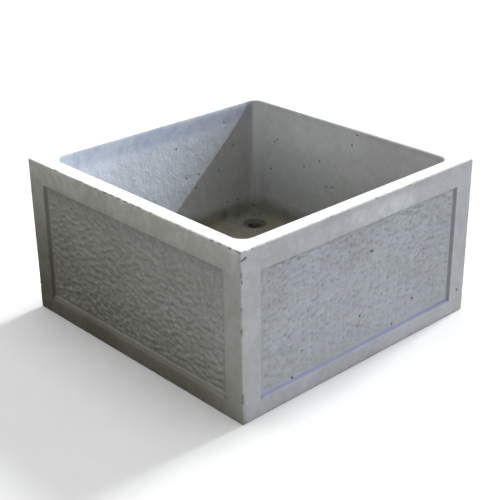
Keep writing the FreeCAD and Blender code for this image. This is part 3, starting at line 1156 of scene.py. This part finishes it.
def pipe_material(colours):
    """Sawn plastic pipe with cement smears and soil."""
    coat = Finish("drain_pipe_plastic", colours.pipe, specular=0.2)
    patches = coat.effect("mottle", scale=45.0)["Patches"]
    smear = coat.dirt(patches, 60.0, 0.7)
    coat.lay(smear, colours.soil_stain)
    saw = coat.noise((25.0, 25.0, 700.0), detail=2.0)
    return coat.finish(saw, 0.0004, roughness=coat.ramp(smear, 0.0, 0.7, 0.7, 0.95))


def steel_material(name, skin, rust, rusting, ribs):
    """Drawn steel with mill skin and a bloom of rust."""
    coat = Finish(name, skin)
    patches = coat.effect("mottle", scale=30.0)["Patches"]
    bloom = coat.dirt(patches, 120.0, rusting)
    coat.lay(bloom, rust)
    grains = coat.effect("grain", scale=ribs)
    metal = coat.ramp(bloom, 0.0, 0.6, 0.9, 0.1)
    rough = coat.ramp(bloom, 0.0, 0.6, 0.38, 0.85)
    return coat.finish(grains["Height"], 0.0003, metallic=metal, roughness=rough)


def floor_material(settings):
    """Plain pale studio floor, which throws back less light beside the left face."""
    coat = Finish("stage_floor", settings.floor_bright, specular=0.1)
    x, y, _ = node(coat.tree, "ShaderNodeSeparateXYZ", {0: coat.place}).outputs
    beside_left = coat.times(
        coat.ramp(x, -HALF_SIDE, -HALF_SIDE + 0.02, 1.0, 0.0),
        coat.ramp(x, -1.6, -0.55, 0.8, 1.0),
        coat.ramp(y, -0.60, -0.30),
    )
    coat.lay(beside_left, settings.floor_dim)
    patches = coat.effect("mottle", scale=1.5)["Patches"]
    dim = tuple(0.97 * part for part in settings.floor_tone)
    seen = mixed(coat.tree, patches, opaque(dim), opaque(settings.floor_tone))
    from_camera = node(coat.tree, "ShaderNodeLightPath").outputs["Is Camera Ray"]
    coat.colour = mixed(coat.tree, from_camera, coat.colour, seen)
    return coat.finish(patches, 0.0, roughness=coat.follow(patches, 0.9, 0.95))


# Operators


def paint(names, material):
    """Gives pieces of the frame their finish."""
    for name in names:
        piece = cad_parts[name]
        if not piece.material_slots:
            piece.data.materials.append(material)
        for slot in piece.material_slots:
            slot.material = material


class PLANTER_OT_casting(bpy.types.Operator):
    """Casts the concrete with its hammered panels and stands it for the solid"""

    bl_idname = "planter.casting"
    bl_label = "Concrete casting"

    def execute(self, context):
        scene = context.scene
        sizes, finish = scene.planter_sizes, scene.planter_finish
        piece = bpy.data.objects.new("concrete_casting", casting_mesh(sizes, finish.panel_grid))
        scene.collection.objects.link(piece)
        values = {title(name): float(getattr(finish, name)) for name in SURFACE_SIZES}
        values["Material"] = concrete_material(scene.planter_colours, sizes, finish)
        grown(piece, blows_tree(), values)
        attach(piece, "root")
        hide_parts("planter_casting")
        return {"FINISHED"}


class PLANTER_OT_drain_sleeves(bpy.types.Operator):
    """Finishes the four offcuts of pipe in the floor"""

    bl_idname = "planter.drain_sleeves"
    bl_label = "Drain sleeves"

    def execute(self, context):
        paint(SLEEVES, pipe_material(context.scene.planter_colours))
        return {"FINISHED"}


class PLANTER_OT_steel_cage(bpy.types.Operator):
    """Finishes the hoops, the bent bars and their ties"""

    bl_idname = "planter.steel_cage"
    bl_label = "Steel cage"

    def execute(self, context):
        colours = context.scene.planter_colours
        paint(BARS, steel_material("cage_bar_steel", colours.steel, colours.rust, 0.6, 900.0))
        paint(TIES, steel_material("tie_wire_steel", colours.wire, colours.rust, 0.3, 1800.0))
        return {"FINISHED"}


class PLANTER_OT_cover_blocks(bpy.types.Operator):
    """Finishes the mortar blocks in the underside"""

    bl_idname = "planter.cover_blocks"
    bl_label = "Cover blocks"

    def execute(self, context):
        paint(BLOCKS, mortar_material(context.scene.planter_colours))
        return {"FINISHED"}


def lay_floor(scene, settings):
    """Wide plain floor under the planter."""
    reach = 12.0
    corners = [(-reach, -reach, 0), (reach, -reach, 0), (reach, reach, 0), (-reach, reach, 0)]
    mesh = bpy.data.meshes.new("stage_floor")
    mesh.from_pydata(corners, [], [(0, 1, 2, 3)])
    mesh.materials.append(floor_material(settings))
    floor = bpy.data.objects.new("stage_floor", mesh)
    scene.collection.objects.link(floor)


def towards(turn, height):
    """Direction from the planter to a light on its right."""
    return Vector((math.cos(turn) * math.cos(height), math.sin(turn) * math.cos(height), math.sin(height)))


def light_sky(scene, settings):
    """Even light from all round, brighter towards the front and right."""
    world = bpy.data.worlds.new("stage_sky")
    world.use_nodes = True
    tree = world.node_tree
    way = node(tree, "ShaderNodeTexCoord").outputs["Generated"]
    bright_side = Vector((0.45, -0.85, 0.28)).normalized()
    facing = vector_maths(tree, "DOT_PRODUCT", way, bright_side).outputs["Value"]
    share = ramp(tree, facing, -1.0, 1.0)
    sky = tree.nodes["Background"]
    tone = mixed(tree, share, opaque(settings.sky_warm), opaque(settings.sky_cool))
    tree.links.new(tone, sky.inputs["Color"])
    tree.links.new(ramp(tree, share, 0.0, 1.0, settings.sky_dim, settings.sky_bright), sky.inputs["Strength"])
    scene.world = world


def hang_light(scene, name, kind, tone, strength, place, target, **settings):
    """A lamp in its place, turned to its target."""
    light = bpy.data.lights.new(name, kind)
    light.color = tone
    light.energy = strength
    for setting, value in settings.items():
        setattr(light, setting, value)
    lamp = bpy.data.objects.new(name, light)
    scene.collection.objects.link(lamp)
    lamp.location = place
    lamp.rotation_euler = (target - place).to_track_quat("-Z", "Y").to_euler()


def hang_lights(scene, settings):
    """A soft light from above, a key light from the right, and a beam into the planter."""
    centre = Vector((0, 0, 0))
    far = 5.0
    above = Vector((0, 0, far))
    hang_light(scene, "top_light", "SUN", settings.key_tone, settings.top_strength, above, centre, angle=1.0)
    key_place = far * towards(settings.key_behind, settings.key_height)
    hang_light(
        scene, "key_light", "SUN", settings.key_tone, settings.key_strength, key_place, centre,
        angle=settings.key_softness,
    )
    lit_wall = Vector((-0.33, HALF_SIDE - scene.planter_sizes.rim_wall, 0.30))
    beam_place = lit_wall + far * towards(-settings.beam_turn, settings.beam_height)
    hang_light(
        scene, "inside_beam", "SPOT", settings.beam_tone, settings.beam_strength, beam_place, lit_wall,
        spot_size=settings.beam_spread, spot_blend=1.0, shadow_soft_size=0.02,
    )


def set_camera(scene, settings):
    """Camera at the height, turn and distance of the photograph."""
    lens = bpy.data.cameras.new("front_corner_camera")
    lens.lens = settings.lens
    camera = bpy.data.objects.new("front_corner_camera", lens)
    scene.collection.objects.link(camera)
    turn, height = settings.view_turn, settings.view_height
    back = Vector((math.sin(turn) * math.cos(height), -math.cos(turn) * math.cos(height), math.sin(height)))
    right = Vector((math.cos(turn), math.sin(turn), 0))
    up = back.cross(right)
    rolled_right = math.cos(settings.view_roll) * right + math.sin(settings.view_roll) * up
    rolled_up = back.cross(rolled_right)
    axes = Matrix((rolled_right, rolled_up, back)).transposed().to_4x4()
    place = Vector((0, 0, settings.aim_height)) + settings.view_distance * back
    camera.matrix_world = Matrix.Translation(place) @ axes
    scene.camera = camera


class PLANTER_OT_stage(bpy.types.Operator):
    """Lays the floor, hangs the lights and sets the camera"""

    bl_idname = "planter.stage"
    bl_label = "Stage"

    def execute(self, context):
        settings = context.scene.planter_stage
        lay_floor(context.scene, settings)
        light_sky(context.scene, settings)
        hang_lights(context.scene, settings)
        set_camera(context.scene, settings)
        context.scene.view_settings.view_transform = "Standard"
        return {"FINISHED"}


class PLANTER_PT_sidebar(bpy.types.Panel):
    """Lists the planter's pieces and stage"""

    bl_idname = "PLANTER_PT_sidebar"
    bl_label = "Square planter"
    bl_space_type = "VIEW_3D"
    bl_region_type = "UI"
    bl_category = "Planter"

    def draw(self, context):
        for group in GROUPS:
            settings = getattr(context.scene, group)
            box = self.layout.box()
            for name in settings.__annotations__:
                box.prop(settings, name)
        for operator in OPERATORS:
            self.layout.operator(operator.bl_idname)


GROUPS = {
    "planter_sizes": CastingSizes,
    "planter_finish": CastingFinish,
    "planter_colours": PieceColours,
    "planter_stage": StageSettings,
}
OPERATORS = (
    PLANTER_OT_casting,
    PLANTER_OT_drain_sleeves,
    PLANTER_OT_steel_cage,
    PLANTER_OT_cover_blocks,
    PLANTER_OT_stage,
)


def register():
    for name, group in GROUPS.items():
        bpy.utils.register_class(group)
        setattr(bpy.types.Scene, name, PointerProperty(type=group))
    for made in (*OPERATORS, PLANTER_PT_sidebar):
        bpy.utils.register_class(made)


def unregister():
    for made in reversed((*OPERATORS, PLANTER_PT_sidebar)):
        bpy.utils.unregister_class(made)
    for name, group in reversed(GROUPS.items()):
        delattr(bpy.types.Scene, name)
        bpy.utils.unregister_class(group)


def main():
    register()
    bpy.ops.planter.casting()
    bpy.ops.planter.drain_sleeves()
    bpy.ops.planter.steel_cage()
    bpy.ops.planter.cover_blocks()
    bpy.ops.planter.stage()


if __name__ == "__main__":
    main()
